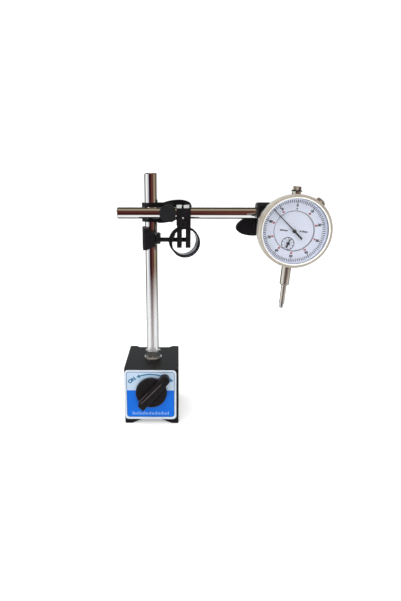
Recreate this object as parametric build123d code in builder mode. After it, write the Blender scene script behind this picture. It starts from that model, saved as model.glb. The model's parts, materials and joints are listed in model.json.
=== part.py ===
"""Dial indicator on a switchable magnetic base, with a column, a cross arm and a
spring-loaded fine adjustment.

Frame: the origin is at the centre of the base's underside, on the column's axis.
+Z runs up the column, +X along the arm towards the gauge, and -Y towards the user,
who faces the switch knob and the dial.  All sizes are in millimetres.
"""
import os
from math import atan2, cos, degrees, pi, radians, sin, sqrt, tan

from build123d import *

# ---------------------------------------------------------------- driving dimensions
RUN = 0.05             # radial clearance of a shaft that turns or slides
FACE = 0.2             # gap between faces of pieces that move past each other

BASE_W, BASE_D, BASE_H = 51.0, 60.0, 55.0
BASE_TURN = 1.2        # degrees about the column that the base stands turned by at rest
VEE_HALF, VEE_ANGLE = 19.0, 24.0       # vee under the base: half width and flank slope
BACK_DEPTH = 3.5                       # relief of the back face between its two ribs
SEPARATOR = 1.5
SWITCH_Z = 33.0
BORE_R, ROTOR_R, SHAFT_R = 14.0, 13.4, 4.0
ROTOR_FRONT, ROTOR_BACK = -26.9, 24.0
LABEL_X, LABEL_W, LABEL_T = -0.9, 48.4, 0.6
LABEL_BOTTOM, LABEL_TOP, LABEL_CORNER = 4.6, 54.4, 3.5
KNOB_R, KNOB_BACK, KNOB_FACE, KNOB_BAR = 14.5, -31.2, -34.8, -38.4
KNOB_ANGLE = 47.0                      # where the pointer stands with the magnet off
TIE_R = 2.0

COLUMN_R, STUD_R = 6.0, 4.0
COLUMN_TOP = 231.5
WASHER_R, WASHER_T = 8.5, 1.5
NUT_AF, NUT_H = 13.0, 6.5

ARM_R, ARM_LENGTH = 5.0, 165.0
ARM_LEFT, ARM_Y, ARM_Z = -28.9, -15.0, 197.1

STRAP_T, STRAP_H = 2.5, 17.0
STRAP_EAR = 22.5
PIVOT_X = 16.0                         # the eye stud, about which the arm tilts
EYE_R, EYE_FRONT, EYE_BACK = 7.3, -24.2, -9.3
PIVOT_R = 3.5

WING_HALF, WING_RISE, WING_T = 21.8, 9.6, 7.5
WING_BOSS_R = 6.5

FORK_X, FORK_HALF, FORK_SLOT = 30.0, 5.9, 1.7
FORK_IN, FORK_OUT = 5.7, 7.7           # half widths of the fork's legs, inside and out
FORK_TOP, FORK_SHOULDER, FORK_END = 204.3, 186.5, 167.0
FORK_BOLT_Z = 188.0
FINE_Z, FINE_R, FINE_END = 173.6, 2.0, 35.4
RING_X, RING_Z, RING_R, RING_T, RING_W = 30.5, 171.7, 13.1, 1.1, 12.5
RING_YAW, RING_PITCH = 13.0, 5.0
TAB_HALF = 3.5                         # the ring's tab, held by the fork's screw

DIAL_X, DIAL_Y, DIAL_Z = 118.5, -41.0, 184.8    # spindle plane at the dial's centre
DIAL_LEAN = 4.1                        # the gauge leans clockwise by this angle
LINK_LENGTH = 19.3                     # from the clamp's bolt to the dial's centre line
LUG_BACK, LUG_T = 6.0, 5.0             # hole behind the back cover, and lug thickness
BOLT_R = 3.0

BEZEL_R, CASE_R, CASE_IN = 29.0, 27.5, 25.5
CASE_BACK, CASE_FRONT, COVER_T = -7.0, 7.2, 1.6
INNER_DIAL_R, SCALE_IN, SCALE_OUT = 15.7, 15.9, 26.6
STEM_R, STEM_END = 4.0, -46.0
SHOULDER_R, SHOULDER_END = 4.3, 29.7   # a holder is pushed up to it
SPINDLE_R, SPINDLE_END, TIP_END = 2.25, -60.5, -66.6
BUSH_TOP, CAP_TOP = 30.8, 35.8
MODULE = 0.625 / pi                    # rack pitch of 0.625 mm
RACK_TEETH, PINION_TEETH, WHEEL_TEETH, CENTRE_TEETH = 22, 16, 100, 10
PINION_X = -3.5
LOCK_ANGLE = 50.0                      # the bezel's clamping screw

os.makedirs("parts", exist_ok=True)


def save(name, part):
    """Write one finished piece, named after its node."""
    part.label = name
    export_step(part, f"parts/{name}.step")


def save_turned(name, part):
    """Write a piece of the base, which is drawn square and stands slightly turned."""
    save(name, part.rotate(Axis.Z, BASE_TURN))


# ---------------------------------------------------------------- planes and small forms
def front(y):
    """Plane facing the user at depth y: its x is +X and its y is +Z."""
    return Plane(origin=(0, y, 0), x_dir=(1, 0, 0), z_dir=(0, -1, 0))


def up(z):
    return Plane.XY.offset(z)


def right(x):
    """Plane facing +X: its x is +Y and its y is +Z."""
    return Plane.YZ.offset(x)


lean = radians(DIAL_LEAN)
GAUGE = Plane(
    origin=(DIAL_X, DIAL_Y, DIAL_Z), x_dir=(cos(lean), 0, -sin(lean)), z_dir=(0, -1, 0)
)
GAUGE_AXIS = Axis((DIAL_X, DIAL_Y, DIAL_Z), (0, -1, 0))


def on_gauge(x, y, z):
    """A point given right of, above and in front of the dial's centre."""
    return GAUGE.from_local_coords(Vector(x, y, z))


def dial(z):
    return GAUGE.offset(z)


def along_spindle(y, x=0.0, z=0.0):
    """Plane across the gauge's height, facing up its spindle."""
    return Plane(origin=on_gauge(x, y, z), x_dir=GAUGE.x_dir, z_dir=GAUGE.y_dir)


def across_gauge(x, y=0.0, z=0.0):
    """Plane across the gauge's width, facing its right-hand side."""
    return Plane(origin=on_gauge(x, y, z), x_dir=-GAUGE.z_dir, z_dir=GAUGE.x_dir)


def rod(plane, length, radius, at=(0, 0), mode=Mode.ADD):
    """A round bar, or with another mode a round hole, standing on a plane."""
    with BuildSketch(plane) as outline:
        with Locations(at):
            Circle(radius)
    extrude(outline.sketch, amount=length, mode=mode)


def bore(plane, length, radius, at=(0, 0)):
    rod(plane, length, radius, at, Mode.SUBTRACT)


def slab(plane, length, low, high, mode=Mode.ADD):
    """A rectangular bar between two corners of a plane."""
    with BuildSketch(plane) as outline:
        with Locations(((low[0] + high[0]) / 2, (low[1] + high[1]) / 2)):
            Rectangle(high[0] - low[0], high[1] - low[1])
    extrude(outline.sketch, amount=length, mode=mode)


def cut(plane, length, low, high):
    slab(plane, length, low, high, Mode.SUBTRACT)


def prism(plane, length, points, mode=Mode.ADD):
    """A straight bar whose section is a polygon."""
    with BuildSketch(plane) as outline:
        with BuildLine():
            Polyline(*points, close=True)
        make_face()
    extrude(outline.sketch, amount=length, mode=mode)


def turned(plane, points):
    """A ring or bar turned about the gauge's dial axis, from (radius, height) points."""
    with BuildSketch(plane) as outline:
        with BuildLine():
            Polyline(*points, close=True)
        make_face()
    revolve(outline.sketch, axis=GAUGE_AXIS)


# ---------------------------------------------------------------- magnetic base
vee_depth = VEE_HALF * tan(radians(VEE_ANGLE))
back_face = BASE_D / 2 - BACK_DEPTH
tie_places = [(y, z) for y in (-21.0, 19.0) for z in (13.2, 51.0)]
slices = {
    "base_pole_left": (-BASE_W / 2, -SEPARATOR / 2),
    "base_separator": (-SEPARATOR / 2, SEPARATOR / 2),
    "base_pole_right": (SEPARATOR / 2, BASE_W / 2),
}
for slice_name, (low_x, high_x) in slices.items():
    with BuildPart() as base_slice:
        slab(front(BASE_D / 2), BASE_D, (low_x, 0), (high_x, BASE_H))
        prism(front(BASE_D / 2), BASE_D,
              [(-VEE_HALF, 0), (0, vee_depth), (VEE_HALF, 0)], Mode.SUBTRACT)
        prism(up(0), BASE_H,
              [(-VEE_HALF, BASE_D / 2), (-VEE_HALF + BACK_DEPTH, back_face),
               (VEE_HALF - BACK_DEPTH, back_face), (VEE_HALF, BASE_D / 2)], Mode.SUBTRACT)
        bore(front(BASE_D / 2), BASE_D, BORE_R, (0, SWITCH_Z))
        bore(up(SWITCH_Z + BORE_R - 1), BASE_H, STUD_R + RUN)
        for place in tie_places:
            bore(right(-BASE_W), 2 * BASE_W, TIE_R, place)
        if slice_name != "base_separator":
            rounded = base_slice.edges().filter_by(Axis.Z).sort_by(lambda e: abs(e.center().X))
            fillet(rounded[-2:], 1.6)
    save_turned(slice_name, base_slice.part)

with BuildPart() as base_tie_bolts:
    for place in tie_places:
        rod(right(-BASE_W / 2 + 0.6), BASE_W - 1.2, TIE_R, place)
save_turned("base_tie_bolts", base_tie_bolts.part)

with BuildPart() as front_bearing_plate:
    rod(front(ROTOR_FRONT - 0.4), BASE_D / 2 + ROTOR_FRONT - 0.4, BORE_R, (0, SWITCH_Z))
    bore(front(0), BASE_D, SHAFT_R + RUN, (0, SWITCH_Z))
save_turned("front_bearing_plate", front_bearing_plate.part)

with BuildPart() as rear_cover:
    rod(front(back_face), back_face - ROTOR_BACK - 0.4, BORE_R, (0, SWITCH_Z))
    bore(front(BASE_D), 2 * BASE_D, SHAFT_R - 1 + RUN, (0, SWITCH_Z))
save_turned("rear_cover", rear_cover.part)

with BuildPart() as front_label_plate:
    with BuildSketch(front(-BASE_D / 2)):
        with Locations((LABEL_X, (LABEL_BOTTOM + LABEL_TOP) / 2)):
            RectangleRounded(LABEL_W, LABEL_TOP - LABEL_BOTTOM, LABEL_CORNER)
        with Locations((0, SWITCH_Z)):
            Circle(SHAFT_R + 2, mode=Mode.SUBTRACT)
    extrude(amount=LABEL_T)
save_turned("front_label_plate", front_label_plate.part)

rotor_length = ROTOR_BACK - ROTOR_FRONT
with BuildPart() as rotor_magnet:
    rod(front(ROTOR_BACK), rotor_length, ROTOR_R, (0, SWITCH_Z))
    slab(front(ROTOR_BACK), rotor_length, (-ROTOR_R, SWITCH_Z - 5.5),
         (ROTOR_R, SWITCH_Z + 5.5), Mode.INTERSECT)
    bore(front(ROTOR_BACK), rotor_length, SHAFT_R, (0, SWITCH_Z))
save_turned("rotor_magnet", rotor_magnet.part)

with BuildPart() as rotor_pole_shoes:
    rod(front(ROTOR_BACK), rotor_length, ROTOR_R, (0, SWITCH_Z))
    cut(front(ROTOR_BACK), rotor_length, (-ROTOR_R, SWITCH_Z - 5.5),
        (ROTOR_R, SWITCH_Z + 5.5))
save_turned("rotor_pole_shoes", rotor_pole_shoes.part)

with BuildPart() as rotor_shaft:
    rod(front(ROTOR_BACK), ROTOR_BACK - KNOB_FACE + 1, SHAFT_R, (0, SWITCH_Z))
    rod(front(back_face), back_face - ROTOR_BACK, SHAFT_R - 1, (0, SWITCH_Z))
save_turned("rotor_shaft", rotor_shaft.part)

knob_axis = Plane(
    origin=(0, KNOB_BACK, SWITCH_Z),
    x_dir=(cos(radians(KNOB_ANGLE)), 0, sin(radians(KNOB_ANGLE))),
    z_dir=(0, -1, 0),
)
POINTER_REACH, POINTER_R, CHISEL_REACH = 18.6, 4.3, -17.2
with BuildPart() as switch_knob:
    rod(knob_axis, KNOB_BACK - KNOB_FACE, KNOB_R)
    fillet(switch_knob.faces().sort_by(Axis.Y)[0].edges(), 1.2)
    with BuildSketch(knob_axis):
        with BuildLine():
            Line((CHISEL_REACH, -5.8), (CHISEL_REACH, 0.8))
            Line((CHISEL_REACH, 0.8), (CHISEL_REACH + 5.0, 4.0))
            Line((CHISEL_REACH + 5.0, 4.0), (POINTER_REACH, POINTER_R))
            ThreePointArc((POINTER_REACH, POINTER_R), (POINTER_REACH + POINTER_R, 0),
                          (POINTER_REACH, -POINTER_R))
            Line((POINTER_REACH, -POINTER_R), (CHISEL_REACH, -5.8))
        make_face()
    extrude(amount=KNOB_BACK - KNOB_BAR)
    fillet(switch_knob.faces().sort_by(Axis.Y)[0].edges(), 1.3)
    bore(knob_axis, KNOB_BACK - KNOB_FACE + 1, SHAFT_R)
    grub_hole = Plane(origin=(0, (KNOB_BACK + KNOB_FACE) / 2, SWITCH_Z),
                      x_dir=(0, 1, 0), z_dir=-knob_axis.y_dir)
    bore(grub_hole.offset(SHAFT_R - 0.5), KNOB_R, 1.5)
save_turned("switch_knob", switch_knob.part)

with BuildPart() as knob_grub_screw:
    rod(grub_hole.offset(SHAFT_R), 7, 1.5)
    bore(grub_hole.offset(SHAFT_R + 5.5), 2, 0.75)
save_turned("knob_grub_screw", knob_grub_screw.part)

# ---------------------------------------------------------------- column
shoulder_z = BASE_H + WASHER_T + NUT_H
with BuildPart() as column_rod:
    rod(up(shoulder_z + RUN), COLUMN_TOP - shoulder_z - RUN, COLUMN_R)
    chamfer(column_rod.faces().sort_by(Axis.Z)[-1].edges(), 0.8)
    rod(up(SWITCH_Z + BORE_R + 0.4), 20, STUD_R)
save("column_rod", column_rod.part)

with BuildPart() as column_washer:
    rod(up(BASE_H), WASHER_T, WASHER_R)
    bore(up(BASE_H), WASHER_T, STUD_R + RUN)
    chamfer(column_washer.faces().sort_by(Axis.Z)[-1].outer_wire().edges(), 0.4)
save("column_washer", column_washer.part)


def hexagon(plane, length, across_flats, chamfer_at_end=0.6, at=(0, 0)):
    """A hexagonal bar whose far corners are turned to a cone."""
    corner = across_flats / sqrt(3)
    with BuildSketch(plane) as outline:
        with Locations(at):
            RegularPolygon(across_flats / 2, 6, major_radius=False)
    extrude(outline.sketch, amount=length)
    with BuildSketch(plane) as blank:
        with Locations(at):
            Circle(corner + 0.01)
    turned_blank = extrude(blank.sketch, amount=length, mode=Mode.PRIVATE)
    far = turned_blank.faces().sort_by(lambda f: plane.to_local_coords(f.center()).Z)[-1]
    cone = turned_blank.chamfer(chamfer_at_end, None, far.edges())
    add(cone, mode=Mode.INTERSECT)


with BuildPart() as column_lock_nut:
    hexagon(up(BASE_H + WASHER_T), NUT_H, NUT_AF)
    bore(up(BASE_H), 20, STUD_R + RUN)
save("column_lock_nut", column_lock_nut.part)

# ---------------------------------------------------------------- clamp on the column
strap_in, strap_out = COLUMN_R + RUN, COLUMN_R + RUN + STRAP_T
strap_bottom = ARM_Z - STRAP_H / 2
with BuildPart() as upper_column_strap:
    with BuildSketch(up(strap_bottom)):
        Circle(strap_out)
        with Locations((STRAP_EAR / 2, 0)):
            Rectangle(STRAP_EAR, 2 * strap_out)
        Circle(strap_in, mode=Mode.SUBTRACT)
        with Locations((STRAP_EAR / 2 + 1, 0)):
            Rectangle(STRAP_EAR + 2, 2 * strap_in, mode=Mode.SUBTRACT)
    extrude(amount=STRAP_H)
    ear_corners = upper_column_strap.edges().filter_by(Axis.Y).filter_by_position(
        Axis.X, STRAP_EAR - 0.1, STRAP_EAR + 0.1)
    fillet(ear_corners, 4.0)
    bore(front(20), 40, PIVOT_R + RUN, (PIVOT_X, ARM_Z))
save("upper_column_strap", upper_column_strap.part)

with BuildPart() as eye_washer:
    washer_t = -EYE_BACK - strap_out - 0.12
    rod(front(-strap_out), washer_t, 7.0, (PIVOT_X, ARM_Z))
    bore(front(0), 20, PIVOT_R + RUN, (PIVOT_X, ARM_Z))
save("eye_washer", eye_washer.part)

LOWER_TOP, LOWER_BOTTOM, LOWER_END = 184.1, 164.2, 5.3
COLLAR_R, COLLAR_END = 3.9, 9.1
with BuildPart() as lower_column_clamp:
    with BuildSketch(up(LOWER_BOTTOM)):
        Circle(strap_out)
        with Locations(((LOWER_END - 6.5) / 2, ARM_Y / 2 - 2.2)):
            RectangleRounded(LOWER_END + 6.5, -ARM_Y + 4.4, 2.5)
        Circle(strap_in, mode=Mode.SUBTRACT)
    extrude(amount=LOWER_TOP - LOWER_BOTTOM)
    prism(front(20), 50, [
        (-9.5, LOWER_BOTTOM), (-9.5, LOWER_TOP), (-3.0, LOWER_TOP - 0.5), (LOWER_END, 178.6),
        (9.5, 177.5), (9.5, 169.0), (LOWER_END, 168.4), (-3.0, LOWER_BOTTOM + 0.2)],
        Mode.INTERSECT)
    bore(right(-2.5), 20, FINE_R + RUN, (ARM_Y, FINE_Z))
    cut(up(LOWER_BOTTOM), 30, (-0.8, 4.0), (0.8, 12.0))
save("lower_column_clamp", lower_column_clamp.part)

# ---------------------------------------------------------------- arm, eye stud and fork
with BuildPart() as arm_rod:
    rod(right(ARM_LEFT), ARM_LENGTH, ARM_R, (ARM_Y, ARM_Z))
    chamfer(arm_rod.edges().filter_by(GeomType.CIRCLE), 0.6)
save("arm_rod", arm_rod.part)

STUD_BACK = 17.0
with BuildPart() as eye_stud:
    rod(front(EYE_BACK), EYE_BACK - EYE_FRONT, EYE_R, (PIVOT_X, ARM_Z))
    fillet(eye_stud.faces().sort_by(Axis.Y)[0].edges(), 0.7)
    rod(front(STUD_BACK), STUD_BACK - EYE_BACK, PIVOT_R, (PIVOT_X, ARM_Z))
    bore(right(0), 40, ARM_R + RUN, (ARM_Y, ARM_Z))
save("eye_stud", eye_stud.part)


def wing_knob(x, z, tilt, seat_y, bore_r, shank_end):
    """An oval wing nut facing forwards, with its boss against y = seat_y."""
    wing = Plane(origin=(x, seat_y + 2.2, z), z_dir=(0, 1, 0),
                 x_dir=(cos(radians(tilt)), 0, sin(radians(tilt))))
    with BuildPart() as knob:
        rod(front(seat_y + 4), 4, WING_BOSS_R, (x, z))
        with BuildSketch(wing) as oval:
            Ellipse(WING_HALF, WING_RISE)
        extrude(oval.sketch, amount=WING_T)
        fillet(knob.faces().sort_by(Axis.Y)[-1].edges(), 1.6)
        bore(front(shank_end), shank_end - seat_y, bore_r, (x, z))
    return knob.part


rear_seat = strap_out + 0.15
save("rear_wing_knob",
     wing_knob(PIVOT_X, ARM_Z, 15.0, rear_seat, PIVOT_R + RUN, STUD_BACK + 0.3))

with BuildPart() as fork_strap:
    with BuildSketch(right(FORK_X - FORK_HALF - 0.5)):
        with Locations((ARM_Y, (FORK_TOP + FORK_END) / 2)):
            RectangleRounded(2 * FORK_OUT, FORK_TOP - FORK_END, 2.0)
        with Locations((ARM_Y, (ARM_Z - 0.6 + FORK_END - 2) / 2)):
            Rectangle(2 * FORK_IN, ARM_Z - 0.6 - FORK_END + 2, mode=Mode.SUBTRACT)
        with Locations((ARM_Y, ARM_Z - 0.5)):
            Circle(FORK_IN, mode=Mode.SUBTRACT)
    extrude(amount=2 * FORK_HALF + 0.7)
    prism(front(ARM_Y + 10), 20, [
        (FORK_X - FORK_HALF - 2, FORK_END - 1), (FORK_X - FORK_HALF, FORK_END - 1),
        (FORK_X - FORK_HALF, FORK_SHOULDER), (FORK_X - FORK_HALF - 2, FORK_SHOULDER + 3)],
        Mode.SUBTRACT)
    cut(front(ARM_Y + 10), 20, (FORK_X - FORK_SLOT, FORK_END - 3),
        (FORK_X + FORK_SLOT, FORK_BOLT_Z - 3.5))
    cut(front(ARM_Y + 10), 20, (FORK_X - FORK_SLOT, FORK_TOP - 0.9),
        (FORK_X + FORK_SLOT, FORK_TOP + 1))
    bore(front(20), 60, 2.0, (FORK_X, FORK_BOLT_Z))
    bore(front(20), 60, 1.0, (FORK_X + 3.8, FINE_Z))
save("fork_strap", fork_strap.part)

fork_front, fork_back = ARM_Y - FORK_OUT, ARM_Y + FORK_OUT
with BuildPart() as fork_clamp_screw:
    rod(front(fork_front), 2.4, 3.1, (FORK_X, FORK_BOLT_Z))
    fillet(fork_clamp_screw.faces().sort_by(Axis.Y)[0].edges(), 0.8)
    rod(front(fork_back + 3.4), 2 * FORK_OUT + 3.4, 2.0, (FORK_X, FORK_BOLT_Z))
    cut(front(fork_front - 1.4), 2, (FORK_X - 0.5, FORK_BOLT_Z - 4), (FORK_X + 0.5, FORK_BOLT_Z + 4))
save("fork_clamp_screw", fork_clamp_screw.part)

with BuildPart() as fork_clamp_nut:
    behind = Plane(origin=(FORK_X, fork_back, FORK_BOLT_Z), x_dir=(1, 0, 0), z_dir=(0, 1, 0))
    hexagon(behind, 3.0, 7.0, 0.4)
    bore(behind, 4, 2.0)
save("fork_clamp_nut", fork_clamp_nut.part)

with BuildPart() as trunnion_block:
    slab(right(FORK_X + FORK_SLOT + 0.2), 3.8, (ARM_Y - FORK_IN, FINE_Z - 5.2),
         (ARM_Y + FORK_IN, FINE_Z + 5.2))
    rod(front(fork_back), 2 * FORK_OUT, 1.0, (FORK_X + 3.8, FINE_Z))
    with BuildSketch(right(FORK_X)) as screw_slot:
        with Locations((ARM_Y, FINE_Z)):
            SlotOverall(2 * (FINE_R + 1.9), 2 * (FINE_R + 0.3), rotation=90)
    extrude(screw_slot.sketch, amount=10, mode=Mode.SUBTRACT)
save("trunnion_block", trunnion_block.part)

ring_axis = Vector(-sin(radians(RING_YAW)), cos(radians(RING_YAW)), sin(radians(RING_PITCH)))
ring_plane = Plane(origin=(RING_X, ARM_Y, RING_Z), x_dir=(1, 0, 0), z_dir=ring_axis.normalized())
with BuildPart() as spring_ring:
    rod(ring_plane.offset(-RING_W / 2), RING_W, RING_R)
    slab(front(ARM_Y + 1.5), 3, (FORK_X - TAB_HALF, RING_Z + RING_R - 1.5),
         (FORK_X + TAB_HALF, FORK_BOLT_Z + TAB_HALF))
    bore(ring_plane.offset(-RING_W), 2 * RING_W, RING_R - RING_T)
    for back_y, front_y in ((ARM_Y + 15, ARM_Y + FORK_IN - 0.3), (ARM_Y - FORK_IN + 0.3, ARM_Y - 15)):
        cut(front(back_y), back_y - front_y, (FORK_X - 8.4, 179.0), (FORK_X + 7.6, 192))
    bore(front(ARM_Y + 5), 10, 2.0, (FORK_X, FORK_BOLT_Z))
    bore(right(RING_X - RING_R - 4), RING_R, FINE_R + 0.7, (ARM_Y, FINE_Z))
save("spring_ring", spring_ring.part)

with BuildPart() as fine_screw:
    rod(right(-2.0), FINE_END + 2.0, FINE_R, (ARM_Y, FINE_Z))
    rod(right(LOWER_END + FACE), COLLAR_END - LOWER_END - FACE, COLLAR_R, (ARM_Y, FINE_Z))
    chamfer(fine_screw.edges().filter_by(GeomType.CIRCLE).filter_by(
        lambda e: abs(e.radius - COLLAR_R) < 0.01), 0.4)
save("fine_screw", fine_screw.part)

# ---------------------------------------------------------------- clamp between arm and gauge
bolt_point = on_gauge(-LINK_LENGTH, 0, 0)
BOLT_X, BOLT_Z = bolt_point.X, bolt_point.Z
GRIP_HALF, GRIP_LEFT, GRIP_RIGHT, GRIP_TOP = 7.6, 93.0, 106.5, 206.3
GRIP_BOTTOM = BOLT_Z - 6.6
grip_front, grip_back = ARM_Y - GRIP_HALF, ARM_Y + GRIP_HALF
with BuildPart() as gauge_clamp_strap:
    with BuildSketch(right(GRIP_LEFT)):
        with Locations((ARM_Y, (GRIP_TOP + GRIP_BOTTOM) / 2)):
            Rectangle(2 * GRIP_HALF, GRIP_TOP - GRIP_BOTTOM)
        with Locations((ARM_Y, ARM_Z)):
            Circle(ARM_R + RUN, mode=Mode.SUBTRACT)
        with Locations((ARM_Y, (ARM_Z + GRIP_BOTTOM) / 2 - 1)):
            Rectangle(2 * (ARM_R + RUN), ARM_Z - GRIP_BOTTOM + 2, mode=Mode.SUBTRACT)
    extrude(amount=GRIP_RIGHT - GRIP_LEFT)
    top_edges = gauge_clamp_strap.edges().filter_by(Axis.X).group_by(Axis.Z)[-1]
    fillet(top_edges, 3.5)
    ear_ends = gauge_clamp_strap.edges().filter_by(Axis.Y).group_by(Axis.Z)[0]
    fillet(ear_ends, 5.0)
    crown = gauge_clamp_strap.edges().filter_by(Axis.Y).group_by(Axis.Z)[-1]
    fillet(crown, 2.0)
    bore(front(20), 60, BOLT_R, (BOLT_X, BOLT_Z))
save("gauge_clamp_strap", gauge_clamp_strap.part)

LINK_T = 3.4
link_back = grip_front - FACE
head_back = link_back - LINK_T - FACE
with BuildPart() as clamp_bolt:
    rod(front(head_back), 2.8, 5.0, (BOLT_X, BOLT_Z))
    fillet(clamp_bolt.faces().sort_by(Axis.Y)[0].edges(), 0.9)
    rod(front(grip_back + 9.0), grip_back + 9.0 - head_back, BOLT_R, (BOLT_X, BOLT_Z))
save("clamp_bolt", clamp_bolt.part)

with BuildPart() as clamp_washer:
    rod(front(grip_back + 1.0), 1.0, 6.5, (BOLT_X, BOLT_Z))
    bore(front(20), 60, BOLT_R + RUN, (BOLT_X, BOLT_Z))
save("clamp_washer", clamp_washer.part)

save("gauge_wing_knob",
     wing_knob(BOLT_X, BOLT_Z, 9.0, grip_back + 1.15, BOLT_R + RUN, grip_back + 9.3))

# Along the gauge's own depth, which runs towards the user, these lie behind the spindle.
lug_z = CASE_BACK - COVER_T - LUG_BACK
flange_x = -LUG_T / 2 - FACE
FLANGE_T, FLANGE_R = 3.2, 5.6
link_far = DIAL_Y - link_back
with BuildPart() as gauge_link:
    rod(dial(link_far), LINK_T, 6.3, (-LINK_LENGTH, 0))
    slab(dial(link_far), LINK_T, (-LINK_LENGTH, -5.0), (flange_x, 5.0))
    rod(across_gauge(flange_x - FLANGE_T, 0, lug_z), FLANGE_T, FLANGE_R)
    bore(dial(link_far - 1), LINK_T + 2, BOLT_R + RUN, (-LINK_LENGTH, 0))
    bore(across_gauge(flange_x - 6, 0, lug_z), 12, 3.0)
save("gauge_link", gauge_link.part)

with BuildPart() as lug_screw:
    rod(across_gauge(flange_x - FLANGE_T, 0, lug_z), FLANGE_T + LUG_T + 2 * FACE, 3.0)
    rod(across_gauge(LUG_T / 2 + FACE, 0, lug_z), 4.6, 4.7)
    chamfer(lug_screw.faces().sort_by(Axis.X)[-1].edges(), 0.6)
save("lug_screw", lug_screw.part)

# ---------------------------------------------------------------- gauge: case and covers
lock = radians(LOCK_ANGLE)
lock_plane = Plane(origin=on_gauge(0, 0, 0), x_dir=(0, 1, 0),
                   z_dir=GAUGE.x_dir * cos(lock) + GAUGE.y_dir * sin(lock))
SHELF_IN, SHELF_BACK, SHELF_FRONT = 23.5, 4.8, 6.0
with BuildPart() as gauge_case:
    rod(dial(CASE_BACK), CASE_FRONT - CASE_BACK, CASE_R)
    bore(dial(CASE_BACK), SHELF_BACK - CASE_BACK, CASE_IN)
    bore(dial(SHELF_FRONT), CASE_FRONT - SHELF_FRONT, CASE_IN)
    bore(dial(SHELF_BACK), SHELF_FRONT - SHELF_BACK, SHELF_IN)
    bore(along_spindle(-CASE_R - 2), 6, STEM_R)
    bore(along_spindle(CASE_IN - 3), 8, 3.0)
    bore(lock_plane.offset(CASE_IN - 1), 5, 1.5 + RUN)
    for angle in (45, 135, 225, 315):
        place = (24.3 * cos(radians(angle)), 24.3 * sin(radians(angle)))
        rod(dial(CASE_BACK), 4.0, 1.9, place)
        bore(dial(CASE_BACK), 3.0, 1.0, place)
save("gauge_case", gauge_case.part)

screw_places = [(24.3 * cos(radians(a)), 24.3 * sin(radians(a))) for a in (45, 135, 225, 315)]
with BuildPart() as back_cover:
    rod(dial(CASE_BACK - COVER_T), COVER_T, CASE_R)
    chamfer(back_cover.faces().sort_by(Axis.Y)[-1].edges(), 0.5)
    rod(across_gauge(-LUG_T / 2, 0, lug_z), LUG_T, 5.6)
    slab(across_gauge(-LUG_T / 2, 0, lug_z), LUG_T, (-LUG_BACK, -5.6), (0, 5.6))
    bore(across_gauge(-LUG_T, 0, lug_z), 2 * LUG_T, 3.0 + RUN)
    for place in screw_places:
        bore(dial(CASE_BACK - COVER_T), COVER_T, 1.0, place)
        bore(dial(CASE_BACK - COVER_T), 0.8, 1.9, place)
save("back_cover", back_cover.part)

with BuildPart() as back_cover_screws:
    for place in screw_places:
        rod(dial(CASE_BACK - COVER_T), 0.8, 1.9, place)
        rod(dial(CASE_BACK - COVER_T), COVER_T + 2.8, 1.0, place)
        cut(dial(CASE_BACK - COVER_T), 0.4, (place[0] - 0.3, place[1] - 2), (place[0] + 0.3, place[1] + 2))
save("back_cover_screws", back_cover_screws.part)

with BuildPart() as stem:
    rod(along_spindle(STEM_END), -STEM_END - CASE_IN + 1, STEM_R)
    chamfer(stem.faces().sort_by(Axis.Z)[0].edges(), 0.8)
    rod(along_spindle(-SHOULDER_END), SHOULDER_END - CASE_R, SHOULDER_R)
    bore(along_spindle(STEM_END - 1), 30, SPINDLE_R + RUN)
save("stem", stem.part)

with BuildPart() as upper_bushing:
    rod(along_spindle(CASE_IN - 0.3), BUSH_TOP - CASE_IN + 0.3, 3.0)
    rod(along_spindle(CASE_R), BUSH_TOP - CASE_R, 3.6)
    bore(along_spindle(CASE_IN - 2), 10, SPINDLE_R + RUN)
    cut(dial(-4), 8, (-4, CASE_R - 4), (-3.7, CASE_R))
save("upper_bushing", upper_bushing.part)

# ---------------------------------------------------------------- gauge: movement
pinion_r = MODULE * PINION_TEETH / 2
wheel_r = MODULE * WHEEL_TEETH / 2
centre_r = MODULE * CENTRE_TEETH / 2
centre_distance = wheel_r + centre_r
PINION_Y = -sqrt(centre_distance ** 2 - PINION_X ** 2)
SPRING_GEAR_X, SPRING_GEAR_Y = -PINION_X, -PINION_Y
mesh_angle = degrees(atan2(-PINION_Y, -PINION_X))
rack_line = PINION_X + pinion_r
ADDENDUM, DEDENDUM = 0.8 * MODULE, 1.2 * MODULE
ROOT_SHARE, TIP_SHARE = 0.46, 0.14


def gear(plane, width, teeth, centre, tooth_angle):
    """A fine gear with straight-flanked teeth, one of them centred on tooth_angle."""
    radius = MODULE * teeth / 2
    points = []
    for tooth in range(teeth):
        middle = tooth_angle + 360 * tooth / teeth
        for share, reach in ((-ROOT_SHARE, radius - DEDENDUM), (-TIP_SHARE, radius + ADDENDUM),
                             (TIP_SHARE, radius + ADDENDUM), (ROOT_SHARE, radius - DEDENDUM)):
            angle = radians(middle + share * 180 / teeth)
            points.append((centre[0] + reach * cos(angle), centre[1] + reach * sin(angle)))
    prism(plane, width, points)


PLATE_BACK, PLATE_T, BRIDGE_BACK, BRIDGE_T = -5.6, 1.2, 2.6, 0.8
WHEEL_BACK, WHEEL_T = 4.2, 0.8
ARBOR_R, FINE_ARBOR_R = 0.6, 0.5
pillar_places = [(15, 0), (-15, 0), (14, -14), (-14, 14)]
arbor_places = [((PINION_X, PINION_Y), ARBOR_R), ((SPRING_GEAR_X, SPRING_GEAR_Y), FINE_ARBOR_R)]

with BuildPart() as movement_back_plate:
    rod(dial(PLATE_BACK), PLATE_T, 21.0)
    slab(dial(PLATE_BACK), PLATE_T, (-1.1, 0.5), (1.1, 17.0), Mode.SUBTRACT)
    for place, radius in arbor_places:
        bore(dial(PLATE_BACK), PLATE_T, radius + 0.03, place)
    for place in pillar_places:
        bore(dial(PLATE_BACK), PLATE_T, 0.8, place)
save("movement_back_plate", movement_back_plate.part)

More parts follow.
